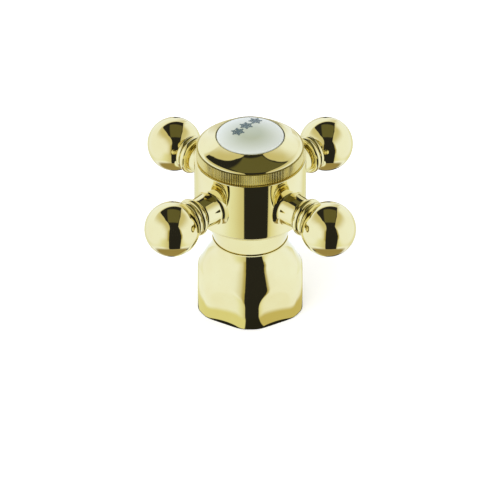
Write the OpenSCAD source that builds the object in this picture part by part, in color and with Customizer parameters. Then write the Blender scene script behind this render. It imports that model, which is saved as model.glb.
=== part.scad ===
// Cross-handle tap head: a quarter-turn ceramic valve under a bell shroud, turned by a
// four-armed handle whose knurled screw cap holds a porcelain index.
// Millimetres. +Z runs up the spindle, and z = 0 is the shroud's rim.

/* [Shroud] */
// Height of the shroud from its rim to its mouth
shroud_height = 21.5; // [21:0.1:21.8]
// Radius of the round base
base_radius = 15.7; // [15.4:0.1:16.2]
// Distance across two opposite flats
flats_width = 29.4; // [28.8:0.1:30.4]
// Radius of the convex shoulder
shoulder_radius = 4.5; // [4:0.1:5]
// Height of the shoulder curve's centre
shoulder_height = 8.4; // [8:0.1:9]
// Radius of the hollow curve below the mouth
neck_curve = 5.6; // [5:0.1:6]
// Outer radius of the mouth
mouth_radius = 10.85; // [10.8:0.05:11.2]
// Radius inside the rim, which slips over the tap body's boss
rim_bore = 13.4; // [13.2:0.1:13.6]
// Wall thickness of the sloping part
shroud_wall = 1.4; // [1.2:0.1:1.5]

/* [Handle] */
// Height of the skirt that shows between the shroud and the hub
skirt_height = 7.8; // [7:0.1:8.4]
// Radius of the skirt where it passes through the shroud's mouth
skirt_radius = 10.08; // [9.9:0.02:10.12]
// Angle at which the skirt widens upwards
skirt_flare = 11; // [6:0.5:13]
// Radius of the hub
hub_radius = 15.5; // [15.2:0.1:16]
// Height of the hub
hub_height = 18.3; // [18:0.1:19]
// Rounding of the hub's lower edge
hub_rounding = 1.5; // [0.5:0.1:2]

/* [Arms] */
// Height of the arms' axes above the hub's lower face
arm_height = 8.6; // [8:0.1:9.4]
// Distance from the spindle's axis to the centre of a ball
ball_reach = 30.15; // [30:0.05:34]
// Radius of a ball
ball_radius = 7.6; // [7:0.05:8]
// Radius of the sleeve at the hub
sleeve_radius = 5.18; // [5:0.01:5.4]
// Radius of the sleeve at its waist
waist_radius = 4.35; // [4:0.05:4.6]
// Radius of the stud that holds an arm
stud_radius = 2.5; // [2:0.1:2.8]

/* [Cap and index] */
// Radius over the knurl's crests
cap_radius = 14.87; // [14.5:0.01:15.2]
// Number of ridges in the knurl
knurl_count = 180; // [60:1:200]
// Depth of the knurl
knurl_depth = 0.26; // [0.1:0.02:0.4]
// Height of the knurled band
band_height = 3.6; // [3:0.1:4]
// Radius of the rounded edge above the knurl
edge_curve = 1.8; // [1.5:0.1:2]
// Radius of the hollow sweep from that edge up to the crest round the index
sweep_curve = 11.5; // [10.6:0.1:12]
// Rise of the crest above the band
crest_rise = 3.44; // [3.3:0.02:3.6]
// Radius of the porcelain face
index_radius = 9.3; // [9:0.1:9.4]
// Rise of the porcelain face
index_rise = 1; // [0.6:0.1:1.6]

/* [Valve] */
// Radius over the crests of the thread that screws into the tap body
thread_radius = 10.48; // [9.5:0.01:10.6]
// Distance across the bonnet's spanner flats
spanner_width = 19; // [17:0.5:19.5]
// Radius of the ceramic discs
disc_radius = 7.3; // [6.8:0.1:7.3]
// Angle of each opening in the ceramic discs
port_angle = 78; // [50:1:84]
// Angle that the spindle turns from closed to open
turn_angle = 90; // [60:1:90]
// Number of teeth on the spindle's spline
spline_teeth = 20; // [12:1:24]

/* [Show] */
// Piece to draw

/* [Hidden] */

$fn = 96;
gold = [0.86, 0.74, 0.38];
valve_brass = [0.74, 0.6, 0.32];
steel = [0.72, 0.73, 0.75];
porcelain = [0.93, 0.94, 0.92];
alumina = [0.9, 0.88, 0.82];
rubber = [0.08, 0.08, 0.08];
nylon = [0.85, 0.84, 0.8];
fibre = [0.45, 0.16, 0.1];

// Clearances: between turning parts, between seated parts, and an overshoot for cuts
running = 0.05;
seated = 0.03;
cut = 0.5;

// Heights up the spindle
hub_bottom = shroud_height + skirt_height;
hub_top = hub_bottom + hub_height;
arm_axis = hub_bottom + arm_height;
band_top = hub_top + band_height;
crest_top = band_top + crest_rise;

// Shroud: centres of the shoulder and neck curves, and where the straight slope touches them
shoulder_centre = [base_radius - shoulder_radius, shoulder_height];
neck_centre = [mouth_radius + neck_curve, shroud_height - 0.2];
curve_gap = neck_centre - shoulder_centre;
slope_angle = atan2(curve_gap.y, curve_gap.x) - acos((shoulder_radius + neck_curve) / norm(curve_gap));
slope_normal = [cos(slope_angle), sin(slope_angle)];
slope_low = shoulder_centre + shoulder_radius * slope_normal;
slope_high = neck_centre - neck_curve * slope_normal;
hollow_low = slope_low - shroud_wall * slope_normal;
hollow_high = slope_high - shroud_wall * slope_normal;
hollow_run = (hollow_low.x - rim_bore) / (hollow_low.x - hollow_high.x);
hollow_start = hollow_low.y + hollow_run * (hollow_high.y - hollow_low.y);
lip_bottom = shroud_height - 5.6;
lip_top = lip_bottom + 1.2;
lip_bore = 8.4;
lip_run = (lip_bottom - hollow_low.y) / (hollow_high.y - hollow_low.y);
lip_outer = hollow_low.x + lip_run * (hollow_high.x - hollow_low.x);
mouth_bore = 10.45;
rim_chamfer = 0.3;

// Shroud nut and the bonnet's neck
neck_radius = 7;
nut_bottom = lip_bottom - 0.9;
nut_flange_radius = 9.2;
nut_flange_top = lip_top + 1.1;
nut_slot = 2.2;
nut_slot_depth = 0.7;

// Skirt
skirt_bottom = nut_flange_top + 0.5;
skirt_low_radius = skirt_radius - (shroud_height - skirt_bottom) * tan(skirt_flare);
skirt_high_radius = skirt_radius + skirt_height * tan(skirt_flare);
skirt_bore = 8.3;
skirt_spigot = 10.4;

// Valve heights, from the seat up
seat_bottom = 0.3;
seat_top = 1.6;
fixed_top = 3.2;
moving_top = 4.8;
carrier_bottom = 6;
carrier_top = 7.4;
chamber_top = 7.6;
stop_top = 9;
thread_bottom = 6;
washer_bottom = 10.4;
flange_bottom = 11.4;
flange_top = 12.2;
spanner_top = 14.6;
bonnet_top = 24.6;
lapped = 0.02;

// Valve radii
tail_radius = 8.7;
chamber_radius = 7.5;
flange_radius = 12;
journal_radius = 4.9;
shaft_radius = 4;
stop_outer = 7.2;
key_width = 2.4;
stop_width = 50;
hub_key = 3.2;

// Spindle top, spline and screw
clip_bottom = 25.4;
clip_thickness = 0.8;
clip_groove = 4.1;
spline_bottom = 30;
spline_depth = 0.35;
spindle_top = 39.2;
screw_radius = 2.5;
screw_hole_bottom = 30.5;
screw_tip = 31.4;
screw_head_radius = 4.6;
screw_head_height = 2.6;
socket_width = 11;
socket_bottom = hub_bottom + 2.7;
socket_top = 39.5;
web_top = 42.5;
recess_radius = 9.8;
spring_washer = 0.9;

// Cap thread, pocket, snap ring, lip and index
cap_thread = 12.45;
spigot_top = hub_top + 2.8;
pocket_radius = index_radius + 1.4;
ring_bottom = spigot_top + 0.45;
ring_thickness = 0.6;
ring_groove = 11.75;
lip_height = crest_top - 1.9;
lip_bore_radius = index_radius + 0.25;
crest = [lip_bore_radius + 0.1, crest_top];
face_curve = (index_radius * index_radius + index_rise * index_rise) / (2 * index_rise);

// Cap's top: the hollow sweep ends at the crest, and a short straight joins it to the edge curve
core_radius = cap_radius - knurl_depth - 0.1;
ledge_height = band_top - 0.1;
crest_normal = [cos(42), sin(42)];
low_normal = [cos(66), sin(66)];
sweep_centre = crest + sweep_curve * crest_normal;
sweep_low = sweep_centre - sweep_curve * low_normal;
edge_high = sweep_low + 0.15 * [low_normal.y, -low_normal.x];
edge_centre = edge_high - edge_curve * low_normal;
edge_drop = ledge_height - edge_centre.y;
edge_low = [edge_centre.x + sqrt(edge_curve * edge_curve - edge_drop * edge_drop), ledge_height];

// Arms: flat end in the hub, then the sleeve, the cove and the two beads
arm_seat = hub_radius - 1.3;
cove_radius = 1.6;
cove_centre = [waist_radius + cove_radius, hub_radius + 4.8];
bead_centre = [4.45, hub_radius + 6.6];
bead_radius = 1;
small_bead_centre = [4.3, ball_reach - 6.4];
small_bead_radius = 0.9;
groove_radius = 4.7;
stud_in_hub = 8.7;
stud_depth = 6.8;

// A flat washer or ring
module washer(inner, outer, low, high) {
    translate([0, 0, low])
        rotate_extrude()
            translate([inner, 0])
                square([outer - inner, high - low]);
}

// An O-ring
module o_ring(centre_radius, section, height) {
    translate([0, 0, height])
        rotate_extrude()
            translate([centre_radius, 0])
                circle(r = section, $fn = 32);
}

// Two opposite sectors of a ring
module opposite_sectors(inner, outer, angle, height) {
    for (side = [0, 180])
        rotate([0, 0, side - angle / 2])
            rotate_extrude(angle = angle)
                translate([inner, 0])
                    square([outer - inner, height]);
}

// A toothed profile: points alternate between root and crest
module toothed(teeth, root, crest) {
    step = 180 / teeth;
    polygon([for (i = [0 : 2 * teeth - 1])
        (i % 2 == 0 ? root : crest) * [cos(i * step), sin(i * step)]]);
}

// A hexagonal bar, with flats that face +X and -X
module hexagon(width, low, high) {
    translate([0, 0, low])
        rotate([0, 0, 30])
            cylinder(r = width / 2 / cos(30), h = high - low, $fn = 6);
}

// Shroud

module shroud_outline() {
    difference() {
        union() {
            polygon([[0, 0], [base_radius - rim_chamfer, 0], [base_radius, rim_chamfer],
                     [base_radius, shoulder_height], slope_low, slope_high, neck_centre,
                     [neck_centre.x, shroud_height], [0, shroud_height]]);
            translate(shoulder_centre)
                circle(r = shoulder_radius);
        }
        translate(neck_centre)
            circle(r = neck_curve);
    }
}

module shroud_hollow() {
    polygon([[0, -cut], [rim_bore, -cut], [rim_bore, hollow_start], [lip_outer, lip_bottom],
             [lip_bore, lip_bottom], [lip_bore, lip_top], [mouth_bore, lip_top],
             [mouth_bore, shroud_height + cut], [0, shroud_height + cut]]);
}

// The flats are planes across a round bell, so each one ends in an arch at the shoulder
module bell_shroud() {
    color(gold)
        difference() {
            intersection() {
                rotate_extrude()
                    shroud_outline();
                hexagon(flats_width, -cut, shroud_height + cut);
            }
            rotate_extrude()
                shroud_hollow();
        }
}

module shroud_nut() {
    color(valve_brass)
        difference() {
            rotate_extrude()
                polygon([[neck_radius + seated, nut_bottom], [lip_bore - 0.3, nut_bottom],
                         [lip_bore - 0.3, lip_top], [nut_flange_radius, lip_top],
                         [nut_flange_radius, nut_flange_top], [neck_radius + seated, nut_flange_top]]);
            for (side = [0, 90])
                rotate([0, 0, side])
                    translate([-nut_flange_radius - cut, -nut_slot / 2, nut_flange_top - nut_slot_depth])
                        cube([2 * nut_flange_radius + 2 * cut, nut_slot, nut_slot_depth + cut]);
        }
}

// Valve

module bonnet_outline() {
    difference() {
        union() {
            square([tail_radius, thread_bottom + cut]);
            polygon([[0, thread_bottom], [thread_radius - 0.8, thread_bottom],
                     [thread_radius, thread_bottom + 0.8], [thread_radius, washer_bottom],
                     [thread_radius - 0.6, washer_bottom], [thread_radius - 0.6, flange_bottom],
                     [flange_radius, flange_bottom], [flange_radius, flange_top],
                     [0, flange_top]]);
        }
        translate([0, -cut])
            square([tail_radius + cut, cut + 0.5]);
    }
}

module bonnet_bores() {
    polygon([[0, -cut], [chamber_radius, -cut], [chamber_radius, chamber_top],
             [journal_radius + running, chamber_top], [journal_radius + running, bonnet_top + cut],
             [0, bonnet_top + cut]]);
}

// The tail has two side windows for the water and two slots for the fixed disc's keys.
// A pocket above the chamber lets the spindle's stop travel through the turn and no further.
module bonnet() {
    color(valve_brass)
        difference() {
            union() {
                rotate_extrude()
                    bonnet_outline();
                hexagon(spanner_width, flange_top - cut, spanner_top);
                cylinder(r = neck_radius, h = bonnet_top);
            }
            rotate_extrude()
                bonnet_bores();
            translate([0, 0, moving_top - 0.8])
                opposite_sectors(chamber_radius - cut, tail_radius + cut, 80, 1.9);
            rotate([0, 0, 90])
                translate([-tail_radius - cut, -hub_key / 2, -cut])
                    cube([2 * tail_radius + 2 * cut, hub_key, cut + fixed_top + lapped]);
            translate([0, 0, chamber_top - cut])
                rotate([0, 0, -stop_width / 2 - 1])
                    rotate_extrude(angle = turn_angle + stop_width + 2)
                        translate([journal_radius, 0])
                            square([stop_outer + 0.2 - journal_radius, cut + stop_top - chamber_top + 0.2]);
        }
}

module body_washer() {
    color(fibre)
        washer(thread_radius - 0.6 + running, flange_radius, washer_bottom, flange_bottom);
}

module seat_washer() {
    color(rubber)
        washer(4.6, chamber_radius - 0.1, seat_bottom, seat_top);
}

module fixed_disc() {
    color(alumina)
        difference() {
            union() {
                translate([0, 0, seat_top])
                    cylinder(r = disc_radius, h = fixed_top - seat_top);
                rotate([0, 0, 90])
                    translate([-tail_radius + 0.2, -hub_key / 2 + 0.1, seat_top])
                        cube([2 * tail_radius - 0.4, hub_key - 0.2, fixed_top - seat_top]);
            }
            translate([0, 0, seat_top - cut])
                rotate([0, 0, 90])
                    opposite_sectors(1.8, 5.6, port_angle, fixed_top - seat_top + 2 * cut);
        }
}

module moving_disc() {
    color(alumina)
        difference() {
            translate([0, 0, fixed_top + lapped])
                cylinder(r = disc_radius, h = moving_top - fixed_top - lapped);
            translate([0, 0, fixed_top - cut])
                opposite_sectors(1.8, 5.6, port_angle, moving_top - fixed_top + 2 * cut);
            rotate([0, 0, 90])
                for (side = [0, 180])
                    rotate([0, 0, side])
                        translate([6.2, -key_width / 2 - running, moving_top - 1.1])
                            cube([2, key_width + 2 * running, 1.1 + cut]);
        }
}

// The spindle carries two legs that drive the moving disc, a stop, a long journal and the spline
module spindle() {
    color(valve_brass)
        difference() {
            union() {
                translate([0, 0, carrier_bottom])
                    cylinder(r = disc_radius, h = carrier_top - carrier_bottom);
                rotate([0, 0, 90])
                    for (side = [0, 180])
                        rotate([0, 0, side])
                            intersection() {
                                translate([6.3, -key_width / 2, moving_top - 1])
                                    cube([2, key_width, carrier_top - moving_top]);
                                cylinder(r = disc_radius - running, h = carrier_top);
                            }
                translate([0, 0, carrier_top - cut])
                    rotate([0, 0, -stop_width / 2])
                        rotate_extrude(angle = stop_width)
                            translate([journal_radius - cut, 0])
                                square([stop_outer + cut - journal_radius, cut + stop_top - carrier_top]);
                translate([0, 0, carrier_bottom])
                    cylinder(r = journal_radius, h = clip_bottom + 1.8 - carrier_bottom);
                translate([0, 0, clip_bottom])
                    cylinder(r = shaft_radius - spline_depth, h = spindle_top - cut - clip_bottom);
                translate([0, 0, clip_bottom])
                    cylinder(r = shaft_radius, h = spline_bottom - clip_bottom - 1);
                translate([0, 0, spline_bottom])
                    linear_extrude(height = spindle_top - spline_bottom)
                        toothed(spline_teeth, shaft_radius - spline_depth, shaft_radius);
            }
            translate([0, 0, screw_hole_bottom])
                cylinder(r = screw_radius, h = spindle_top);
            for (groove = [11.2, 14.4])
                washer(journal_radius - 0.8, journal_radius + cut, groove, groove + 1.4);
            washer(clip_groove, journal_radius + cut, clip_bottom, clip_bottom + clip_thickness + 0.1);
        }
}

module spindle_o_rings() {
    color(rubber)
        for (groove = [11.2, 14.4])
            o_ring(journal_radius - 0.32, 0.34, groove + 0.7);
}

// A spring clip, open at one side
module spindle_clip() {
    color(steel)
        difference() {
            washer(clip_groove + seated, 7, clip_bottom + 0.05, clip_bottom + clip_thickness);
            translate([0, -2.6, clip_bottom - cut])
                cube([8, 5.2, clip_thickness + 2 * cut]);
        }
}

module thrust_washer() {
    color(nylon)
        washer(journal_radius + 0.1, 6.8, bonnet_top + 0.05, clip_bottom - 0.05);
}

module spline_adapter() {
    color(nylon)
        difference() {
            hexagon(socket_width - 2 * seated, socket_bottom, socket_top - 0.1);
            translate([0, 0, socket_bottom - cut])
                linear_extrude(height = socket_top)
                    toothed(spline_teeth, shaft_radius - spline_depth + 0.06, shaft_radius + 0.06);
        }
}

// Handle

// The skirt runs down into the shroud's mouth and widens towards the hub
module skirt() {
    color(gold)
        rotate_extrude()
            polygon([[skirt_bore, skirt_bottom], [skirt_low_radius, skirt_bottom],
                     [skirt_high_radius, hub_bottom], [skirt_spigot, hub_bottom],
                     [skirt_spigot, socket_bottom - seated], [skirt_bore, socket_bottom - seated]]);
}

module hub_outline() {
    difference() {
        union() {
            translate([0, hub_bottom + hub_rounding])
                square([hub_radius, hub_height - hub_rounding - 0.25]);
            translate([0, hub_bottom])
                square([hub_radius - hub_rounding, hub_height]);
            translate([hub_radius - hub_rounding, hub_bottom + hub_rounding])
                circle(r = hub_rounding);
            translate([0, hub_top - 1])
                square([hub_radius - 0.25, 1]);
            translate([0, hub_top - 1])
                square([cap_thread, spigot_top - hub_top + 1]);
        }
        translate([0, -cut])
            square([hub_radius + cut, hub_bottom + cut]);
        translate([0, hub_bottom - cut])
            square([skirt_spigot + seated, socket_bottom - hub_bottom + cut]);
        square([screw_radius + 0.2, spigot_top + cut]);
        translate([0, web_top])
            square([recess_radius, spigot_top]);
    }
}

module hub() {
    color(gold)
        difference() {
            rotate_extrude()
                hub_outline();
            hexagon(socket_width, socket_bottom - cut, socket_top);
            for (turn = [45 : 90 : 315])
                rotate([0, 0, turn]) {
                    translate([arm_seat, 0, arm_axis])
                        rotate([0, 90, 0])
                            cylinder(r = sleeve_radius + seated, h = hub_radius);
                    translate([stud_in_hub, 0, arm_axis])
                        rotate([0, 90, 0])
                            cylinder(r = stud_radius, h = hub_radius);
                }
        }
}

// Half profile of an arm: radius across, distance from the spindle's axis upwards
module arm_outline() {
    difference() {
        union() {
            polygon([[0, arm_seat], [sleeve_radius, arm_seat], [sleeve_radius, hub_radius],
                     [waist_radius + 0.02, cove_centre.y - 0.27], [bead_centre.x, cove_centre.y - 0.27],
                     [bead_centre.x + bead_radius - 0.1, bead_centre.y],
                     [groove_radius, bead_centre.y], [groove_radius, ball_reach - 5],
                     [0, ball_reach - 5]]);
            translate(bead_centre)
                circle(r = bead_radius);
            translate(small_bead_centre)
                circle(r = small_bead_radius);
            translate([0, ball_reach])
                intersection() {
                    circle(r = ball_radius);
                    translate([0, -ball_radius])
                        square([ball_radius, 2 * ball_radius]);
                }
        }
        translate(cove_centre)
            circle(r = cove_radius);
    }
}

module arm(turn) {
    color(gold)
        rotate([0, 0, turn])
            translate([0, 0, arm_axis])
                rotate([0, 90, 0])
                    difference() {
                        rotate_extrude()
                            arm_outline();
                        translate([0, 0, arm_seat - cut])
                            cylinder(r = stud_radius, h = stud_depth + cut);
                    }
}

module arm_front_left() {
    arm(225);
}

module arm_front_right() {
    arm(315);
}

module arm_back_left() {
    arm(135);
}

module arm_back_right() {
    arm(45);
}

module arm_studs() {
    color(steel)
        for (turn = [45 : 90 : 315])
            rotate([0, 0, turn])
                translate([stud_in_hub + 0.1, 0, arm_axis])
                    rotate([0, 90, 0])
                        cylinder(r = stud_radius - seated, h = arm_seat + stud_depth - stud_in_hub - 0.3);
}

module handle_screw() {
    color(steel)
        difference() {
            union() {
                translate([0, 0, screw_tip])
                    cylinder(r = screw_radius - seated, h = web_top + spring_washer - screw_tip + cut);
                translate([0, 0, web_top + spring_washer])
                    cylinder(r = screw_head_radius, h = screw_head_height - 0.6);
                translate([0, 0, web_top + spring_washer + screw_head_height - 0.6])
                    cylinder(r1 = screw_head_radius, r2 = screw_head_radius - 0.6, h = 0.6);
            }
            hexagon(3, web_top + spring_washer + 0.8, web_top + spring_washer + screw_head_height + cut);
        }
}

// A split spring washer
module screw_washer() {
    color(steel)
        difference() {
            washer(screw_radius + 0.15, screw_head_radius - 0.1, web_top, web_top + spring_washer);
            translate([0, -0.4, web_top - cut])
                cube([screw_head_radius, 0.8, spring_washer + 2 * cut]);
        }
}

// Cap and index

module cap_outline() {
    difference() {
        union() {
            polygon([[0, hub_top], [core_radius, hub_top], [core_radius, ledge_height], edge_low,
                     edge_high, sweep_low, crest, [0, crest_top]]);
            intersection() {
                translate(edge_centre)
                    circle(r = edge_curve);
                translate([0, ledge_height])
                    square([core_radius, edge_curve]);
            }
        }
        translate(sweep_centre)
            circle(r = sweep_curve, $fn = 180);
        translate([0, hub_top - cut])
            square([cap_thread + running, spigot_top + 0.1 - hub_top + cut]);
        translate([0, spigot_top])
            square([pocket_radius, lip_height - spigot_top]);
        translate([0, ring_bottom - 0.05])
            square([ring_groove, ring_thickness + 0.1]);
        translate([0, lip_height - cut])
            square([lip_bore_radius, crest_rise + cut]);
    }
}

// The straight knurl is a toothed ring round the cap's band
module knurled_cap() {
    color(gold)
        union() {
            rotate_extrude()
                cap_outline();
            translate([0, 0, hub_top + 0.15])
                linear_extrude(height = band_height - 0.4)
                    difference() {
                        toothed(knurl_count, cap_radius - knurl_depth, cap_radius);
                        circle(r = cap_thread + 0.8);
                    }
        }
}

// A spring ring that keeps the index in the cap, open at one side
module index_ring() {
    color(steel)
        difference() {
            washer(10, ring_groove - 0.1, ring_bottom, ring_bottom + ring_thickness);
            translate([0, -1.5, ring_bottom - cut])
                cube([ring_groove, 3, ring_thickness + 2 * cut]);
        }
}

module index_disc() {
    color(porcelain)
        rotate_extrude()
            union() {
                translate([0, ring_bottom + ring_thickness + 0.05])
                    square([index_radius + 1.3, lip_height - ring_bottom - ring_thickness - 0.1]);
                translate([0, lip_height - 1])
                    square([index_radius, crest_top - lip_height + 1]);
                intersection() {
                    translate([0, crest_top + index_rise - face_curve])
                        circle(r = face_curve, $fn = 180);
                    translate([0, crest_top - 0.1])
                        square([index_radius, index_rise + 0.2]);
                }
            }
}

index_disc();
index_ring();
knurled_cap();
handle_screw();
screw_washer();
hub();
skirt();
arm_front_left();
arm_front_right();
arm_back_left();
arm_back_right();
arm_studs();
spline_adapter();
spindle();
spindle_o_rings();
spindle_clip();
thrust_washer();
moving_disc();
fixed_disc();
seat_washer();
bonnet();
body_washer();
shroud_nut();
bell_shroud();
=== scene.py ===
"""Looks of the cross-handle tap head: its turned and gold-plated pieces, the porcelain index, the finishes of the
valve inside and the studio it stands in. Metres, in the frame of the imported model, with +Z up the spindle."""

import math

import bpy
from mathutils import Matrix, Vector


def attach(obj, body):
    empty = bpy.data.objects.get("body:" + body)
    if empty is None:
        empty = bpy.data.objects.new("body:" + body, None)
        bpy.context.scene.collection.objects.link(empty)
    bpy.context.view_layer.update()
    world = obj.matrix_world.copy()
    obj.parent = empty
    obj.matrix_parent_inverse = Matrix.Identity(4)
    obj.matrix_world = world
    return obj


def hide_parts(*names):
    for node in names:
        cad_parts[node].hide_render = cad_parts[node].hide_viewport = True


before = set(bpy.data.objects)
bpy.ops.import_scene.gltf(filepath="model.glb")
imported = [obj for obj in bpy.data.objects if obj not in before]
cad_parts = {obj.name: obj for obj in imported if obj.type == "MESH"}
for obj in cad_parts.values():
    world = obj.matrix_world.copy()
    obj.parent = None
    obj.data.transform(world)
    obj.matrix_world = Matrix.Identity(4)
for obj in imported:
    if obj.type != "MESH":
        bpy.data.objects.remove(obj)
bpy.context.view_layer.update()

bl_info = {
    "name": "Cross-handle tap head",
    "version": (1, 0, 0),
    "blender": (4, 5, 0),
    "location": "View3D > Sidebar > Tap head",
    "description": "Models the visible pieces of a cross-handle tap head over its packed solids",
    "category": "Object",
}

MM = 0.001
WELD = 2e-6
SMOOTH_BELOW = math.radians(32)

# Heights up the spindle
ARM_AXIS = 37.9 * MM
CREST_TOP = 54.64 * MM


def linear_colour(code):
    """Linear colour from a hexadecimal sRGB code."""
    parts = [int(code[i:i + 2], 16) / 255 for i in (0, 2, 4)]
    return tuple(p / 12.92 if p <= 0.04045 else ((p + 0.055) / 1.055) ** 2.4 for p in parts)


# Sizes and colours that a user would change

class TapHeadSizes(bpy.types.PropertyGroup):
    """Sizes of the visible pieces"""
    base_radius: bpy.props.FloatProperty(
        name="Base radius", description="Radius of the bell's round base", default=15.7 * MM, unit="LENGTH",
        precision=5)
    flats_width: bpy.props.FloatProperty(
        name="Across flats", description="Distance across two opposite flats of the bell", default=29.4 * MM,
        unit="LENGTH", precision=5)
    flats_rounding: bpy.props.FloatProperty(
        name="Flats' edges", description="How far polishing has rounded the edges of the flats", default=0.5 * MM,
        unit="LENGTH", precision=5)
    hub_radius: bpy.props.FloatProperty(
        name="Hub radius", description="Radius of the drum that carries the arms", default=15.5 * MM, unit="LENGTH",
        precision=5)
    ball_radius: bpy.props.FloatProperty(
        name="Ball radius", description="Radius of the ball on each arm", default=7.6 * MM, unit="LENGTH",
        precision=5)
    ball_reach: bpy.props.FloatProperty(
        name="Ball reach", description="Distance from the spindle's axis to the centre of a ball",
        default=30.15 * MM, unit="LENGTH", precision=5)
    knurl_ridges: bpy.props.IntProperty(
        name="Knurl ridges", description="Number of ridges round the cap", default=180, min=60, max=240)
    knurl_depth: bpy.props.FloatProperty(
        name="Knurl depth", description="Depth of the grooves round the cap", default=0.12 * MM, unit="LENGTH",
        precision=5)
    index_radius: bpy.props.FloatProperty(
        name="Index radius", description="Radius of the porcelain face", default=9.3 * MM, unit="LENGTH",
        precision=5)


class TapHeadFinishes(bpy.types.PropertyGroup):
    """Colours of the finishes"""
    gold: bpy.props.FloatVectorProperty(
        name="Gold plate", description="Colour of the polished gold plate", subtype="COLOR",
        default=linear_colour("EFE5AA"), min=0, max=1)
    # The middle's grey green is painted shade and painted reflection of the dark studio above; the rim's paler
    # colour is the porcelain's own
    porcelain: bpy.props.FloatVectorProperty(
        name="Porcelain", description="Colour of the middle of the glazed index", subtype="COLOR",
        default=linear_colour("B3BCA0"), min=0, max=1)
    print_ink: bpy.props.FloatVectorProperty(
        name="Print", description="Colour of the mark printed under the glaze", subtype="COLOR",
        default=linear_colour("123C29"), min=0, max=1)
    floor: bpy.props.FloatVectorProperty(
        name="Floor", description="Colour of the studio floor", subtype="COLOR",
        default=linear_colour("F7F7F7"), min=0, max=1)


# Drawing and turning

def deselect():
    if bpy.context.object and bpy.context.object.mode != "OBJECT":
        bpy.ops.object.mode_set(mode="OBJECT")
    bpy.ops.object.select_all(action="DESELECT")


def pick(piece):
    deselect()
    piece.select_set(True)
    bpy.context.view_layer.objects.active = piece


def arc(centre, radius, start, end, steps):
    """Points on a curve of the profile, from one angle to another in degrees."""
    angles = [math.radians(start + (end - start) * i / steps) for i in range(steps + 1)]
    return [(centre[0] + radius * math.cos(a), centre[1] + radius * math.sin(a)) for a in angles]


def beyond(point, distance, degrees):
    """A point at a distance from another, in a direction of the profile."""
    return (point[0] + distance * math.cos(math.radians(degrees)),
            point[1] + distance * math.sin(math.radians(degrees)))


def straight(start, end, steps):
    """Points on a straight part of the profile, without its last one."""
    return [(start[0] + (end[0] - start[0]) * i / steps, start[1] + (end[1] - start[1]) * i / steps)
            for i in range(steps)]


def millimetres(points):
    return [(r * MM, z * MM) for r, z in points]


def turn(name, profile, steps, closed=True):
    """A turned piece: the profile is drawn by extruding one vertex, then spun round the spindle's axis."""
    deselect()
    points = profile + [profile[0]] if closed else profile
    bpy.ops.mesh.primitive_plane_add(size=MM, location=(points[0][0], 0, points[0][1]))
    piece = bpy.context.object
    piece.name = piece.data.name = name
    bpy.ops.object.transform_apply(location=True, rotation=True, scale=True)
    bpy.ops.object.mode_set(mode="EDIT")
    bpy.ops.mesh.select_mode(type="VERT")
    bpy.ops.mesh.select_all(action="SELECT")
    bpy.ops.mesh.merge(type="CENTER")
    for (r0, z0), (r1, z1) in zip(points, points[1:]):
        bpy.ops.mesh.extrude_vertices_move(TRANSFORM_OT_translate={"value": (r1 - r0, 0, z1 - z0)})
    bpy.ops.mesh.select_all(action="SELECT")
    bpy.ops.mesh.spin(steps=steps, angle=2 * math.pi, center=(0, 0, 0), axis=(0, 0, 1))
    finish_mesh(piece)
    return piece


def finish_mesh(piece, smooth=SMOOTH_BELOW):
    """Merges the seam and the poles, turns the faces outwards and smooths what isn't an edge."""
    pick(piece)
    bpy.ops.object.mode_set(mode="EDIT")
    bpy.ops.mesh.select_mode(type="VERT")
    bpy.ops.mesh.select_all(action="SELECT")
    bpy.ops.mesh.remove_doubles(threshold=WELD)
    bpy.ops.mesh.normals_make_consistent(inside=False)
    bpy.ops.object.mode_set(mode="OBJECT")
    bpy.ops.object.shade_smooth_by_angle(angle=smooth)


def dress(piece, body, finish, replaced=None):
    piece.data.materials.clear()
    piece.data.materials.append(finish)
    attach(piece, body)
    if replaced:
        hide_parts(replaced)


# Materials

def add(tree, kind, inputs=None, **settings):
    """Adds a node, sets its properties, and fills or links its inputs. A colour gets its alpha here."""
    node = tree.nodes.new(kind)
    for name, value in settings.items():
        setattr(node, name, value)
    for name, value in (inputs or {}).items():
        socket = node.inputs[name]
        if isinstance(value, bpy.types.NodeSocket):
            tree.links.new(value, socket)
        elif socket.type == "RGBA":
            socket.default_value = (*value, 1)
        else:
            socket.default_value = value
    return node


def new_material(name):
    """A material with its Principled shader linked to the output. One that exists is given back as it is."""
    material = bpy.data.materials.get(name)
    if material:
        return material, None, None
    material = bpy.data.materials.new(name)
    material.use_nodes = True
    tree = material.node_tree
    tree.nodes.clear()
    shader = add(tree, "ShaderNodeBsdfPrincipled")
    output = add(tree, "ShaderNodeOutputMaterial")
    tree.links.new(shader.outputs["BSDF"], output.inputs["Surface"])
    return material, tree, shader


def noise(tree, scale, stretch=(1, 1, 1), detail=3):
    """Noise over the piece's own coordinates, in features of 1 / scale metres."""
    place = add(tree, "ShaderNodeTexCoord").outputs["Object"]
    mapped = add(tree, "ShaderNodeMapping", {"Vector": place, "Scale": stretch}).outputs[0]
    return add(tree, "ShaderNodeTexNoise", {"Vector": mapped, "Scale": scale, "Detail": detail}).outputs[0]


def spread(tree, pattern, low, high):
    """Spreads the middle of a noise, where nearly all of it lies, over a range."""
    return add(tree, "ShaderNodeMapRange", {"Value": pattern, "From Min": 0.3, "From Max": 0.7,
                                            "To Min": low, "To Max": high}).outputs[0]


def from_axis(tree):
    """Distance from the spindle's axis."""
    place = add(tree, "ShaderNodeTexCoord").outputs["Object"]
    flat = add(tree, "ShaderNodeVectorMath", {0: place, 1: (1, 1, 0)}, operation="MULTIPLY").outputs[0]
    return add(tree, "ShaderNodeVectorMath", {0: flat}, operation="LENGTH").outputs["Value"]


def layered(tree, colour, *layers):
    """Lays colours over a first one, each as strongly as its own mask says."""
    for strength, over in layers:
        colour = add(tree, "ShaderNodeMix", {0: strength, 6: colour, 7: over}, data_type="RGBA").outputs[2]
    return colour


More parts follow.
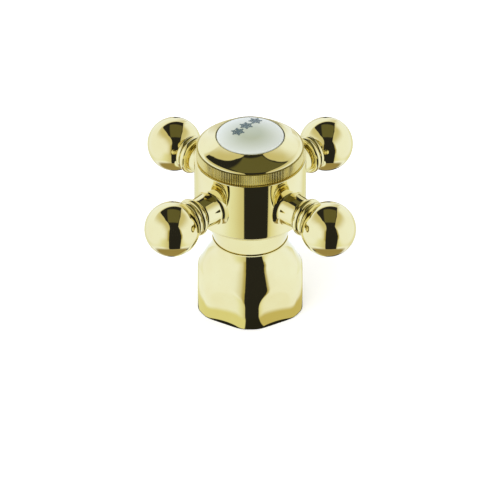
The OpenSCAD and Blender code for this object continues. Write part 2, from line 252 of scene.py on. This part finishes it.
def shade(colour, red, green, blue):
    """A colour with its parts scaled."""
    return colour[0] * red, colour[1] * green, colour[2] * blue


def gold_plate():
    """Gold plate, polished to a mirror, with a faint haze left by the polishing wheel."""
    material, tree, shader = new_material("gold_plate")
    if tree:
        colour = bpy.context.scene.tap_head_finishes.gold
        tint = spread(tree, noise(tree, 90), 0, 1)
        plate = layered(tree, colour, (tint, shade(colour, 0.97, 0.93, 0.86)))
        haze = spread(tree, noise(tree, 700, (1, 1, 2.5)), 0.028, 0.055)
        tree.links.new(plate, shader.inputs["Base Color"])
        tree.links.new(haze, shader.inputs["Roughness"])
        shader.inputs["Metallic"].default_value = 1
    return material


def gold_knurl():
    """The knurled band's plate: darker in its grooves as painted shade, and duller there, where the polishing wheel
    doesn't reach.
    """
    material, tree, shader = new_material("gold_knurl")
    if tree:
        colour = bpy.context.scene.tap_head_finishes.gold
        groove_shade_and_dullness = add(tree, "ShaderNodeMapRange", {"Value": from_axis(tree), "From Min": 14.75 * MM,
                                                  "From Max": 14.8 * MM, "To Min": 1, "To Max": 0}).outputs[0]
        # Painted shade: the plate's colour is darkened down in the grooves, while the rougher finish there is the
        # real dullness
        plate = layered(tree, shade(colour, 0.85, 0.8, 0.6), (groove_shade_and_dullness, shade(colour, 0.62, 0.54, 0.24)))
        rough = add(tree, "ShaderNodeMapRange", {"Value": groove_shade_and_dullness, "To Min": 0.12, "To Max": 0.3}).outputs[0]
        tree.links.new(plate, shader.inputs["Base Color"])
        tree.links.new(rough, shader.inputs["Roughness"])
        shader.inputs["Metallic"].default_value = 1
    return material


def glazed_porcelain():
    """White porcelain under a clear glaze, with painted shade and a painted reflection that make its middle darker
    and greener and fade out, paler, towards its rim, and with the glaze's soft unevenness.
    """
    material, tree, shader = new_material("glazed_porcelain")
    if tree:
        colour = bpy.context.scene.tap_head_finishes.porcelain
        tint = spread(tree, noise(tree, 260), 0, 1)
        # Painted shade and reflection: the darker, greener middle stands in for dim light from above and the dark
        # gap mirrored in the glaze, and fades out towards the rim
        rim = add(tree, "ShaderNodeMapRange", {"Value": from_axis(tree), "From Min": 3 * MM,
                                               "From Max": 9 * MM}).outputs[0]
        body = layered(tree, colour, (tint, shade(colour, 1.03, 1, 0.95)), (rim, linear_colour("E1E7DD")))
        waves = noise(tree, 220, detail=1)
        bump = add(tree, "ShaderNodeBump", {"Height": waves, "Strength": 0.12, "Distance": 0.05 * MM})
        tree.links.new(body, shader.inputs["Base Color"])
        tree.links.new(bump.outputs[0], shader.inputs["Coat Normal"])
        shader.inputs["Roughness"].default_value = 0.35
        shader.inputs["IOR"].default_value = 1.6
        shader.inputs["Coat Weight"].default_value = 1
        shader.inputs["Coat Roughness"].default_value = 0.28
        shader.inputs["Coat IOR"].default_value = 1.6
    return material


def printed_enamel():
    """Dark green print under the glaze, a little thinner in places."""
    material, tree, shader = new_material("printed_enamel")
    if tree:
        colour = bpy.context.scene.tap_head_finishes.print_ink
        thin = spread(tree, noise(tree, 2400), 0, 1)
        tree.links.new(layered(tree, colour, (thin, shade(colour, 2.2, 1.6, 1.8))), shader.inputs["Base Color"])
        shader.inputs["Roughness"].default_value = 0.4
        shader.inputs["Coat Weight"].default_value = 1
        shader.inputs["Coat Roughness"].default_value = 0.04
    return material


def turned_brass():
    """Plain brass as the lathe leaves it, with fine rings and a dull bloom."""
    material, tree, shader = new_material("turned_brass")
    if tree:
        bloom = spread(tree, noise(tree, 160), 0, 1)
        rings = noise(tree, 900, (0.04, 0.04, 9), 1)
        bump = add(tree, "ShaderNodeBump", {"Height": rings, "Strength": 0.25, "Distance": 0.01 * MM})
        tree.links.new(layered(tree, linear_colour("D9B56A"), (bloom, linear_colour("B98F49"))),
                       shader.inputs["Base Color"])
        tree.links.new(spread(tree, rings, 0.2, 0.36), shader.inputs["Roughness"])
        tree.links.new(bump.outputs[0], shader.inputs["Normal"])
        shader.inputs["Metallic"].default_value = 1
    return material


def zinc_steel():
    """Steel with bright zinc plate, slightly mottled."""
    material, tree, shader = new_material("zinc_steel")
    if tree:
        mottle = spread(tree, noise(tree, 650), 0, 1)
        tree.links.new(layered(tree, linear_colour("C9CBCD"), (mottle, linear_colour("AEB3B8"))),
                       shader.inputs["Base Color"])
        tree.links.new(spread(tree, noise(tree, 1800, (1, 1, 4)), 0.18, 0.32), shader.inputs["Roughness"])
        shader.inputs["Metallic"].default_value = 1
    return material


def moulded(name, light, dark, low, high, grain):
    """A matt moulded or pressed material: two near colours in a fine grain, with uneven roughness."""
    material, tree, shader = new_material(name)
    if tree:
        mottle = noise(tree, grain)
        bump = add(tree, "ShaderNodeBump", {"Height": mottle, "Strength": 0.2, "Distance": 0.02 * MM})
        tree.links.new(layered(tree, linear_colour(light), (spread(tree, mottle, 0, 1), linear_colour(dark))),
                       shader.inputs["Base Color"])
        tree.links.new(spread(tree, mottle, low, high), shader.inputs["Roughness"])
        tree.links.new(bump.outputs[0], shader.inputs["Normal"])
    return material


def finish_cad_node(name, finish):
    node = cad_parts[name]
    node.data.materials.clear()
    node.data.materials.append(finish)


# Pieces

class TAPHEAD_OT_bell_shroud(bpy.types.Operator):
    """Turns the bell and presses its six flats"""
    bl_idname = "tap_head.bell_shroud"
    bl_label = "Bell shroud"

    def execute(self, context):
        sizes = context.scene.tap_head_sizes
        base, rim_bore, rim_edge = sizes.base_radius / MM, 13.4, 0.3
        shoulder, shoulder_height, slope = 9, 7.26, 30
        neck, neck_height, neck_radius = 9, 21, 10.6
        mouth, mouth_height, mouth_edge = 10.52, 21.36, 0.14
        lip_bore, lip_outer, lip_bottom, lip_top, hollow_start = 8.4, 11.2, 15.9, 17.1, 11.06
        shoulder_centre, neck_centre = (base - shoulder, shoulder_height), (neck_radius + neck, neck_height)
        slope_low = beyond(shoulder_centre, shoulder, slope)
        slope_high = beyond(neck_centre, neck, 180 + slope)
        outside = (
            [(rim_bore, 0)]
            + arc((base - rim_edge, rim_edge), rim_edge, -90, 0, 5)
            + straight((base, 0.55), (base, shoulder_height), 26)
            + arc(shoulder_centre, shoulder, 0, slope, 18)
            + straight(slope_low, slope_high, 18)[1:]
            + arc(neck_centre, neck, 180 + slope, 180, 12)
            + [(10.62, 21.3)]
        )
        inside = (
            arc((mouth, mouth_height), mouth_edge, 35, 180, 6)
            + [(mouth - mouth_edge, lip_top), (lip_bore, lip_top), (lip_bore, lip_bottom), (lip_outer, lip_bottom),
               (rim_bore, hollow_start)]
        )
        bell = turn("bell", millimetres(outside + inside), 360)
        press_flats(bell, sizes.flats_width / 2, sizes.flats_rounding)
        dress(bell, "base", gold_plate(), "bell_shroud")
        return {"FINISHED"}


def press_flats(bell, half_width, rounding):
    """Moves the outer wall's vertices in to six flats, with their edges rounded off as polishing leaves them."""
    inner_wall = 13.41 * MM
    sixth = math.pi / 3
    for vertex in bell.data.vertices:
        radius = math.hypot(vertex.co.x, vertex.co.y)
        if radius < inner_wall:
            continue
        angle = math.atan2(vertex.co.y, vertex.co.x)
        off = angle - sixth * round(angle / sixth)
        flat = half_width / math.cos(off)
        near = max(rounding - abs(radius - flat), 0) / rounding
        pressed = min(radius, flat) - near * near * rounding / 4
        vertex.co.x *= pressed / radius
        vertex.co.y *= pressed / radius
    pick(bell)
    bpy.ops.object.shade_smooth_by_angle(angle=SMOOTH_BELOW)


class TAPHEAD_OT_skirt(bpy.types.Operator):
    """Turns the flared skirt between the hub and the bell's mouth"""
    bl_idname = "tap_head.skirt"
    bl_label = "Skirt"

    def execute(self, context):
        bore, low_radius, high_radius, spigot = 8.3, 9.6, 12.35, 10.4
        bottom, shoulder, top = 18.7, 29.28, 31.97
        profile = [(bore, bottom), (low_radius, bottom), (high_radius, shoulder), (spigot, shoulder), (spigot, top),
                   (bore, top)]
        skirt = turn("skirt_collar", millimetres(profile), 192)
        dress(skirt, "handle", gold_plate(), "skirt")
        return {"FINISHED"}


class TAPHEAD_OT_hub(bpy.types.Operator):
    """Turns the drum with its rounded lower edge and the spigot for the cap"""
    bl_idname = "tap_head.hub"
    bl_label = "Hub"

    def execute(self, context):
        radius = context.scene.tap_head_sizes.hub_radius / MM
        bottom, top, low_edge, top_edge = 29.3, 47.6, 1.5, 0.25
        spigot, spigot_top, recess, web_top, web_bottom, screw_hole = 12.45, 50.4, 9.8, 42.5, 39.5, 2.7
        socket, skirt_socket, skirt_top = 6.4, 10.43, 32
        profile = (
            [(skirt_socket, bottom)]
            + arc((radius - low_edge, bottom + low_edge), low_edge, -90, 0, 14)
            + arc((radius - top_edge, top - top_edge), top_edge, 0, 90, 5)
            + [(spigot, top), (spigot, spigot_top), (recess, spigot_top), (recess, web_top), (screw_hole, web_top),
               (screw_hole, web_bottom), (socket, web_bottom), (socket, skirt_top), (skirt_socket, skirt_top)]
        )
        hub = turn("hub_drum", millimetres(profile), 256)
        dress(hub, "handle", gold_plate(), "hub")
        return {"FINISHED"}


class TAPHEAD_OT_arms(bpy.types.Operator):
    """Turns one arm with its beads and ball, and copies it to the four places"""
    bl_idname = "tap_head.arms"
    bl_label = "Arms"

    def execute(self, context):
        sizes = context.scene.tap_head_sizes
        reach, ball = sizes.ball_reach / MM, sizes.ball_radius / MM
        foot = [(0, 14.2), (6, 14.2), (6, 14.62)] + arc((6.3, 16.3), 1.6, 240, 187, 10)
        sleeve_end = arc((3.14, 19.6), 1.2, 8, 56, 10) + [(3.76, 20.95)]
        bead = arc((4.45, 22.1), 1, -130, 67.5, 22)
        small_bead = arc((4.3, 23.75), 0.9, -53.8, 44.3, 12)[1:]
        # The ball starts where the small bead touches it, at this place from its centre
        join, steps = math.degrees(math.atan2(4.939, -5.777)), 56
        ball_side = [(ball * math.sin(math.radians(t)), reach + ball * math.cos(math.radians(t)))
                     for t in [join * (1 - i / steps) for i in range(1, steps)]]
        profile = foot + sleeve_end + bead + small_bead + ball_side + [(0, reach + ball)]
        first = turn("arm", millimetres(profile), 128, closed=False)
        lie_down = Matrix.Translation((0, 0, ARM_AXIS)) @ Matrix.Rotation(math.pi / 2, 4, "Y")
        for place, degrees in (("front_left", 225), ("front_right", 315), ("back_left", 135), ("back_right", 45)):
            pick(first)
            bpy.ops.object.duplicate(linked=False)
            arm = context.object
            arm.name = arm.data.name = "arm_" + place + "_ball"
            arm.matrix_world = Matrix.Rotation(math.radians(degrees), 4, "Z") @ lie_down
            bpy.ops.object.transform_apply(location=True, rotation=True, scale=True)
            dress(arm, "handle", gold_plate(), "arm_" + place)
        bpy.data.objects.remove(first)
        return {"FINISHED"}


class TAPHEAD_OT_cap(bpy.types.Operator):
    """Turns the screw cap and adds its knurled band"""
    bl_idname = "tap_head.cap"
    bl_label = "Knurled cap"

    def execute(self, context):
        sizes = context.scene.tap_head_sizes
        # Radii of the hollow sweep and of the rounded edge, and the directions of the crest and of where they meet
        sweep, edge, crest_lean, meet = 11.5, 1.8, 42, 66
        core, ledge_height, bottom = 14.4, 51.1, 47.62
        lip_bore, lip_bottom, lip_edge = 9.55, 52.74, 0.136
        pocket, ring_groove, ring_low, ring_high = 10.7, 11.75, 50.8, 51.5
        spigot_bore, spigot_top = 12.5, 50.5
        sweep_centre = beyond((9.65, CREST_TOP / MM), sweep, crest_lean)
        sweep_low = beyond(sweep_centre, sweep, meet + 180)
        edge_centre = beyond(beyond(sweep_low, 0.15, meet - 90), edge, meet + 180)
        ledge = math.degrees(math.asin((ledge_height - edge_centre[1]) / edge))
        profile = (
            [(core, ledge_height - 0.02)]
            + arc(edge_centre, edge, ledge, meet, 14)
            + arc(sweep_centre, sweep, meet + 180, 43 + 180, 30)
            + arc((lip_bore + lip_edge, 54.399), lip_edge, 43, 180, 6)[1:]
            + [(lip_bore, lip_bottom), (pocket, lip_bottom), (pocket, ring_high), (ring_groove, ring_high),
               (ring_groove, ring_low), (pocket, ring_low), (pocket, spigot_top), (spigot_bore, spigot_top),
               (spigot_bore, bottom), (core, bottom)]
        )
        cap = turn("cap_dome", millimetres(profile), 256)
        dress(cap, "cap", gold_plate(), "knurled_cap")
        band = knurled_band(sizes.knurl_ridges, 14.87 * MM, sizes.knurl_depth)
        dress(band, "cap", gold_knurl())
        return {"FINISHED"}


def knurled_band(ridges, crest, depth):
    """A ring of straight ridges between two bevels: a circle is extruded up, and its middle then goes in and out."""
    per_ridge, ledge = 6, 14.42 * MM
    levels = ((47.62, False), (47.78, True), (50.94, True), (51.1, False))
    deselect()
    bpy.ops.mesh.primitive_circle_add(vertices=ridges * per_ridge, radius=ledge,
                                      location=(0, 0, levels[0][0] * MM))
    band = bpy.context.object
    band.name = band.data.name = "cap_knurl"
    bpy.ops.object.transform_apply(location=True, rotation=True, scale=True)
    bpy.ops.object.mode_set(mode="EDIT")
    bpy.ops.mesh.select_all(action="SELECT")
    for (low, _), (high, _) in zip(levels, levels[1:]):
        bpy.ops.mesh.extrude_edges_move(TRANSFORM_OT_translate={"value": (0, 0, (high - low) * MM)})
    bpy.ops.object.mode_set(mode="OBJECT")
    toothed = [height * MM for height, ridged in levels if ridged]
    for vertex in band.data.vertices:
        if min(abs(vertex.co.z - height) for height in toothed) < WELD:
            angle = math.atan2(vertex.co.y, vertex.co.x)
            wave = 0.5 - 0.5 * math.cos(angle * ridges)
            radius = crest - depth * (1 - wave ** 0.7)
            vertex.co.x, vertex.co.y = radius * math.cos(angle), radius * math.sin(angle)
    finish_mesh(band, math.radians(50))
    return band


class TAPHEAD_OT_index(bpy.types.Operator):
    """Turns the porcelain index and prints its mark"""
    bl_idname = "tap_head.index"
    bl_label = "Index"

    def execute(self, context):
        radius = context.scene.tap_head_sizes.index_radius / MM
        rim_top, rise, edge, steps = CREST_TOP / MM, 0.94, 0.45, 24
        flange, flange_bottom, flange_top = 10.6, 51.5, 52.69
        curve = (radius * radius + rise * rise) / (2 * rise)
        lean = math.degrees(math.asin((radius - edge) / (curve - edge)))
        low = rim_top + rise - curve
        corner = beyond((0, low), curve - edge, 90 - lean)
        profile = (
            [(0, flange_bottom), (flange, flange_bottom), (flange, flange_top), (radius, flange_top)]
            + arc(corner, edge, 0, 90 - lean, 8)
            + [beyond((0, low), curve, 90 - lean * (1 - i / steps)) for i in range(1, steps)]
            + [(0, rim_top + rise)]
        )
        disc = turn("index_porcelain", millimetres(profile), 192, closed=False)
        dress(disc, "index", glazed_porcelain(), "index_disc")
        mark = snowflakes(curve * MM, (rim_top + rise) * MM)
        dress(mark, "index", printed_enamel())
        return {"FINISHED"}


# One arm of a snowflake, as distances along the arm and across it, out to its tip
FLAKE_ARM = ((0.43, 0.25), (0.78, 0.25), (1.14, 0.66), (1.46, 0.36), (1.30, 0.25), (1.90, 0.25),
             (1.90, -0.25), (1.30, -0.25), (1.46, -0.36), (1.14, -0.66), (0.78, -0.25), (0.43, -0.25))
FLAKE_PLACES = ((-3.4, 0.5), (-1.1, 3.65), (1.4, 6.6))
FLAKE_TURN = 19


def snowflakes(curve, top):
    """Three small snowflakes for the cold side, lying in the face's curve."""
    thickness, sunk = 0.06 * MM, 0.035 * MM
    flakes = []
    for x, y in FLAKE_PLACES:
        deselect()
        bpy.ops.mesh.primitive_circle_add(vertices=6 * len(FLAKE_ARM), radius=MM, fill_type="NGON")
        flake = bpy.context.object
        for index, vertex in enumerate(flake.data.vertices):
            arm, step = divmod(index, len(FLAKE_ARM))
            along, across = FLAKE_ARM[step]
            turn_by = Matrix.Rotation(math.radians(FLAKE_TURN + 60 * arm), 3, "Z")
            vertex.co = turn_by @ Vector((along * MM, -across * MM, 0))
        bpy.ops.object.mode_set(mode="EDIT")
        bpy.ops.mesh.select_all(action="SELECT")
        bpy.ops.mesh.extrude_region_move(TRANSFORM_OT_translate={"value": (0, 0, thickness)})
        bpy.ops.object.mode_set(mode="OBJECT")
        place = Vector((x * MM, y * MM, 0))
        normal = Vector((place.x, place.y, math.sqrt(curve * curve - place.length_squared))).normalized()
        flake.matrix_world = (Matrix.Translation(Vector((0, 0, top - curve)) + normal * (curve - sunk))
                              @ normal.to_track_quat("Z", "Y").to_matrix().to_4x4())
        flakes.append(flake)
    pick(flakes[0])
    for flake in flakes:
        flake.select_set(True)
    bpy.ops.object.join()
    bpy.ops.object.transform_apply(location=True, rotation=True, scale=True)
    mark = bpy.context.object
    mark.name = mark.data.name = "index_mark"
    finish_mesh(mark)
    return mark


class TAPHEAD_OT_valve_finishes(bpy.types.Operator):
    """Gives the valve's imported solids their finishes"""
    bl_idname = "tap_head.valve_finishes"
    bl_label = "Valve finishes"

    def execute(self, context):
        nylon = moulded("nylon", "E4E1D6", "D2CEC0", 0.4, 0.55, 900)
        rubber = moulded("rubber", "1E1E1F", "141415", 0.6, 0.8, 1500)
        alumina = moulded("alumina", "EFEBDD", "E2DCCB", 0.16, 0.3, 2600)
        fibre = moulded("vulcanised_fibre", "7E3526", "5F2418", 0.6, 0.8, 1300)
        finishes = {
            turned_brass(): ("bonnet", "shroud_nut", "spindle"),
            zinc_steel(): ("index_ring", "handle_screw", "screw_washer", "arm_studs", "spindle_clip"),
            nylon: ("spline_adapter", "thrust_washer"),
            rubber: ("spindle_o_rings", "seat_washer"),
            alumina: ("moving_disc", "fixed_disc"),
            fibre: ("body_washer",),
        }
        for finish, names in finishes.items():
            for name in names:
                finish_cad_node(name, finish)
        return {"FINISHED"}


# Studio

VIEW_ELEVATION = 34.5
VIEW_DISTANCE = 1.2
AIM = (-0.00005, 0, 0.0163)
LENS = 308.5
FAR = 20

FLOOR_SIZE = 6
LAMP_PLACE = (-0.5, -0.5, 1.1)
LAMP_SIZE = 0.9
LAMP_POWER = 5
LIT_POINT = (0, 0, 0.03)

# What matt surfaces get, and what the camera sees
PLAIN_LIGHT = (0.8, 0.8, 0.8)
BACKGROUND = (1, 1, 1)

# What only mirrors see, as light levels, which may be above 1
WALL = (0.99, 1.08, 1.36)
WALL_LOW_LEFT, WALL_LOW_RIGHT = (0.87, 0.92, 0.82), (0.84, 0.86, 0.66)
WALL_BY_GAP = (0.66, 0.62, 0.38)
WALL_ABOVE_BY_GAP = (0.68, 0.65, 0.44)
SMUDGE = (0.50, 0.44, 0.19)
FLOOR_SHADE = (0.36, 0.29, 0.13)
GAP = (0.022, 0.022, 0.024)
PANEL = (0.13, 0.125, 0.055)
FOOT_LEFT, FOOT_RIGHT = (0.80, 0.80, 0.50), (0.64, 0.58, 0.28)
FOOT_DARK = (0.02, 0.02, 0.018)
CARD = (0.95, 1.03, 1.18)

# The dark gap between the two soft walls, as the plate mirrors it: its left and right limits across X for each
# angle in degrees up from the front horizon, over the top and down behind.
GAP_LEFT = ((-180, -0.02), (-64, -0.12), (-50, -0.17), (-16, -0.20), (19, -0.19), (36, -0.15), (47, -0.17),
            (60, -0.27), (73, -0.42), (90, -0.50), (104, -0.56), (121, -0.59), (131, -0.56), (149, 0.38),
            (180, 0.4))
GAP_RIGHT = ((-180, 0.02), (-72, 0.34), (-35, 0.52), (-16, 0.59), (0, 0.62), (31, 0.55), (45, 0.45), (54, 0.47),
             (95, 0.52), (118, 0.47), (149, 0.37), (180, 0.3))


def mask(tree, *limits, strength=1):
    """As strong as given where every value is past its limit, and 0 elsewhere. A limit is a value, where the mask
    starts and where it is full."""
    total = None
    for value, start, full in limits:
        step = add(tree, "ShaderNodeMapRange", {"Value": value, "From Min": start, "From Max": full,
                                                "To Max": 1 if total else strength},
                   interpolation_type="SMOOTHSTEP").outputs[0]
        total = add(tree, "ShaderNodeMath", {0: total, 1: step}, operation="MULTIPLY").outputs[0] if total else step
    return total


def limit_curve(tree, angle, points):
    """A limit of the gap, read from its table: angles of -180 to 180 degrees and X of -1 to 1, both as 0 to 1."""
    node = add(tree, "ShaderNodeFloatCurve", {"Value": angle})
    curve = node.mapping.curves[0]
    places = [((degrees + 180) / 360, (x + 1) / 2) for degrees, x in points]
    curve.points[0].location, curve.points[1].location = places[0], places[-1]
    for place in places[1:-1]:
        curve.points.new(*place)
    for point in curve.points:
        point.handle_type = "VECTOR"
    node.mapping.update()
    return node.outputs[0]


def studio_world():
    """Mirrors see two soft walls, left and right, with a dark gap between them and a dark ceiling panel. The
    camera sees plain white, and matt surfaces get plain even light."""
    world = bpy.data.worlds.new("studio")
    bpy.context.scene.world = world
    world.use_nodes = True
    tree = world.node_tree
    tree.nodes.clear()
    direction = add(tree, "ShaderNodeTexCoord").outputs["Generated"]
    x, y, z = add(tree, "ShaderNodeSeparateXYZ", {0: direction}).outputs
    forward = add(tree, "ShaderNodeMath", {0: y, 1: -1}, operation="MULTIPLY").outputs[0]
    turned = add(tree, "ShaderNodeMath", {0: z, 1: forward}, operation="ARCTAN2").outputs[0]
    angle = add(tree, "ShaderNodeMapRange", {"Value": turned, "From Min": -math.pi,
                                             "From Max": math.pi}).outputs[0]
    # How far a ray is inside the gap's left and right limits
    across = add(tree, "ShaderNodeMapRange", {"Value": x, "From Min": -1, "From Max": 1}).outputs[0]
    from_left = add(tree, "ShaderNodeMath", {0: across, 1: limit_curve(tree, angle, GAP_LEFT)},
                    operation="SUBTRACT").outputs[0]
    from_right = add(tree, "ShaderNodeMath", {0: limit_curve(tree, angle, GAP_RIGHT), 1: across},
                     operation="SUBTRACT").outputs[0]
    gap = mask(tree, (from_left, -0.008, 0.008), (from_right, -0.008, 0.008), (z, -0.87, -0.855))
    # The walls: cool white, creamier low down, falling off to warm towards the gap
    sideways = add(tree, "ShaderNodeMath", {0: x}, operation="ABSOLUTE").outputs[0]
    low = mask(tree, (z, 0, -0.4), (z, -0.83, -0.7), (sideways, 0.8, 0.5))
    wall_low = layered(tree, WALL_LOW_LEFT, (mask(tree, (x, -0.2, 0.2)), WALL_LOW_RIGHT))
    past_left, past_right, not_below = (from_left, -0.02, 0.02), (from_right, -0.02, 0.02), (z, -0.89, -0.865)
    near_left = mask(tree, (from_left, -0.2, 0), past_right, not_below, strength=0.8)
    near_right = mask(tree, (from_right, -0.06, 0), past_left, not_below, strength=0.6)
    above_left = mask(tree, (from_left, -0.36, -0.04), past_right)
    above_right = mask(tree, (from_right, -0.42, -0.04), past_left)
    above = add(tree, "ShaderNodeMath", {0: above_left, 1: above_right}, operation="MAXIMUM").outputs[0]
    above = add(tree, "ShaderNodeMath", {0: above, 1: mask(tree, (z, 0.25, 0.75), (turned, 2.6, 1.9))},
                operation="MULTIPLY").outputs[0]
    # Brown smudges beside the gap, about the front horizon
    smudge = mask(tree, (turned, -0.42, -0.2), (turned, 0.6, 0.4), (from_left, -0.08, -0.01),
                  (from_right, -0.05, -0.01))
    # The ceiling panel, in its own flat coordinates, is paler than the gap
    right = add(tree, "ShaderNodeMath", {0: x, 1: z}, operation="DIVIDE").outputs[0]
    back = add(tree, "ShaderNodeMath", {0: y, 1: z}, operation="DIVIDE").outputs[0]
    panel = mask(tree, (right, -0.34, -0.24), (right, 0.58, 0.50), (back, -0.60, -0.48), (back, 0.80, 0.60),
                 (z, 0.1, 0.2))
    colour = layered(tree, WALL, (low, wall_low), (near_left, WALL_BY_GAP), (near_right, WALL_BY_GAP),
                     (above, WALL_ABOVE_BY_GAP), (smudge, SMUDGE), (mask(tree, (z, -0.81, -0.90)), FLOOR_SHADE),
                     (gap, layered(tree, GAP, (panel, PANEL))))
    # Which rays see what
    rays = add(tree, "ShaderNodeLightPath").outputs
    seen = layered(tree, PLAIN_LIGHT, (rays["Is Camera Ray"], BACKGROUND), (rays["Is Glossy Ray"], colour))
    shader = add(tree, "ShaderNodeBackground", {"Color": seen, "Strength": 1})
    add(tree, "ShaderNodeOutputWorld", {"Surface": shader.outputs[0]})


def floor_paint():
    """Pale studio paper: plain matt, lifted for the camera so that only the shadow shows."""
    material, tree, shader = new_material("studio_paper")
    if tree:
        shader.inputs["Base Color"].default_value = (*bpy.context.scene.tap_head_finishes.floor, 1)
        shader.inputs["Roughness"].default_value = 0.9
        shader.inputs["Specular IOR Level"].default_value = 0
        shader.inputs["Emission Color"].default_value = (1, 1, 1, 1)
        seen = add(tree, "ShaderNodeLightPath").outputs["Is Camera Ray"]
        lift = add(tree, "ShaderNodeMath", {0: seen, 1: 0.35}, operation="MULTIPLY").outputs[0]
        tree.links.new(lift, shader.inputs["Emission Strength"])
    return material


def only_glow(shader):
    """Leaves a shader nothing but its emission."""
    for name, value in (("Base Color", (0, 0, 0, 1)), ("Specular IOR Level", 0), ("Emission Strength", 1)):
        shader.inputs[name].default_value = value


def foot_shade():
    """The shaded floor round the foot, as the plate mirrors it: dark below the rim and in a narrow sector in
    front, brown round it, and fading out."""
    material, tree, shader = new_material("foot_shade")
    if tree:
        only_glow(shader)
        place = add(tree, "ShaderNodeTexCoord").outputs["Object"]
        x, y, _ = add(tree, "ShaderNodeSeparateXYZ", {0: place}).outputs
        forward = add(tree, "ShaderNodeMath", {0: y, 1: -1}, operation="MULTIPLY").outputs[0]
        azimuth = add(tree, "ShaderNodeMath", {0: x, 1: forward}, operation="ARCTAN2").outputs[0]
        radius = from_axis(tree)
        sector = mask(tree, (azimuth, -0.12, -0.09), (azimuth, 0.31, 0.28))
        below_rim = mask(tree, (radius, 16 * MM, 15.9 * MM))
        dark = add(tree, "ShaderNodeMath", {0: sector, 1: below_rim}, operation="MAXIMUM").outputs[0]
        glow = layered(tree, FOOT_LEFT, (mask(tree, (azimuth, -0.1, 0.3)), FOOT_RIGHT), (dark, FOOT_DARK))
        tree.links.new(glow, shader.inputs["Emission Color"])
        tree.links.new(mask(tree, (radius, 22 * MM, 19.6 * MM)), shader.inputs["Alpha"])
    return material


def white_card():
    """A white card round the bell's shoulder that only the plate above it mirrors: bright above, clear below."""
    material, tree, shader = new_material("white_card")
    if tree:
        only_glow(shader)
        shader.inputs["Emission Color"].default_value = (*CARD, 1)
        below = add(tree, "ShaderNodeNewGeometry").outputs["Backfacing"]
        clear = add(tree, "ShaderNodeMath", {0: 1, 1: below}, operation="SUBTRACT").outputs[0]
        tree.links.new(clear, shader.inputs["Alpha"])
    return material


def mirrored_disc(name, radius, height, finish):
    """A flat disc across the spindle's axis that only mirrors see."""
    bpy.ops.mesh.primitive_circle_add(vertices=96, radius=radius, fill_type="NGON", location=(0, 0, height))
    disc = bpy.context.object
    disc.name = name
    disc.data.materials.append(finish)
    disc.visible_camera = disc.visible_diffuse = disc.visible_transmission = False
    disc.visible_shadow = disc.visible_volume_scatter = False
    return disc


class TAPHEAD_OT_stage(bpy.types.Operator):
    """Sets the floor, the soft light and the camera"""
    bl_idname = "tap_head.stage"
    bl_label = "Studio and camera"

    def execute(self, context):
        studio_world()
        deselect()
        bpy.ops.mesh.primitive_plane_add(size=FLOOR_SIZE, location=(0, 0, -0.02 * MM))
        floor = context.object
        floor.name = "studio_floor"
        floor.data.materials.append(floor_paint())
        floor.visible_glossy = False
        pad = mirrored_disc("foot_shade", 22.5 * MM, -0.01 * MM, foot_shade())
        card = mirrored_disc("skirt_card", 21 * MM, 12 * MM, white_card())
        bpy.ops.object.light_add(type="AREA", location=LAMP_PLACE)
        lamp = context.object
        lamp.name = "soft_lamp"
        lamp.data.shape = "DISK"
        lamp.data.size = LAMP_SIZE
        lamp.data.energy = LAMP_POWER
        lamp.rotation_euler = (Vector(LIT_POINT) - lamp.location).to_track_quat("-Z", "Y").to_euler()
        lamp.visible_glossy = False
        elevation = math.radians(VIEW_ELEVATION)
        back = Vector((0, -math.cos(elevation), math.sin(elevation)))
        bpy.ops.object.camera_add(location=Vector(AIM) + VIEW_DISTANCE * back)
        camera = context.object
        camera.rotation_euler = (-back).to_track_quat("-Z", "Y").to_euler()
        camera.data.lens = LENS
        camera.data.clip_end = FAR
        context.scene.camera = camera
        context.scene.view_settings.view_transform = "Standard"
        return {"FINISHED"}


class TAPHEAD_PT_panel(bpy.types.Panel):
    """Lists the pieces in the sidebar"""
    bl_idname = "TAPHEAD_PT_panel"
    bl_label = "Tap head"
    bl_space_type = "VIEW_3D"
    bl_region_type = "UI"
    bl_category = "Tap head"

    def draw(self, context):
        for group in (context.scene.tap_head_sizes, context.scene.tap_head_finishes):
            for name in group.bl_rna.properties.keys():
                if name not in ("rna_type", "name"):
                    self.layout.prop(group, name)
        for step in STEPS:
            self.layout.operator(step.bl_idname)


STEPS = (TAPHEAD_OT_stage, TAPHEAD_OT_bell_shroud, TAPHEAD_OT_skirt, TAPHEAD_OT_hub, TAPHEAD_OT_arms,
         TAPHEAD_OT_cap, TAPHEAD_OT_index, TAPHEAD_OT_valve_finishes)
CLASSES = (TapHeadSizes, TapHeadFinishes, *STEPS, TAPHEAD_PT_panel)


def register():
    for one in CLASSES:
        bpy.utils.register_class(one)
    bpy.types.Scene.tap_head_sizes = bpy.props.PointerProperty(type=TapHeadSizes)
    bpy.types.Scene.tap_head_finishes = bpy.props.PointerProperty(type=TapHeadFinishes)


def unregister():
    del bpy.types.Scene.tap_head_finishes
    del bpy.types.Scene.tap_head_sizes
    for one in reversed(CLASSES):
        bpy.utils.unregister_class(one)


def main():
    register()
    bpy.ops.tap_head.stage()
    bpy.ops.tap_head.bell_shroud()
    bpy.ops.tap_head.skirt()
    bpy.ops.tap_head.hub()
    bpy.ops.tap_head.arms()
    bpy.ops.tap_head.cap()
    bpy.ops.tap_head.index()
    bpy.ops.tap_head.valve_finishes()


if __name__ == "__main__":
    main()
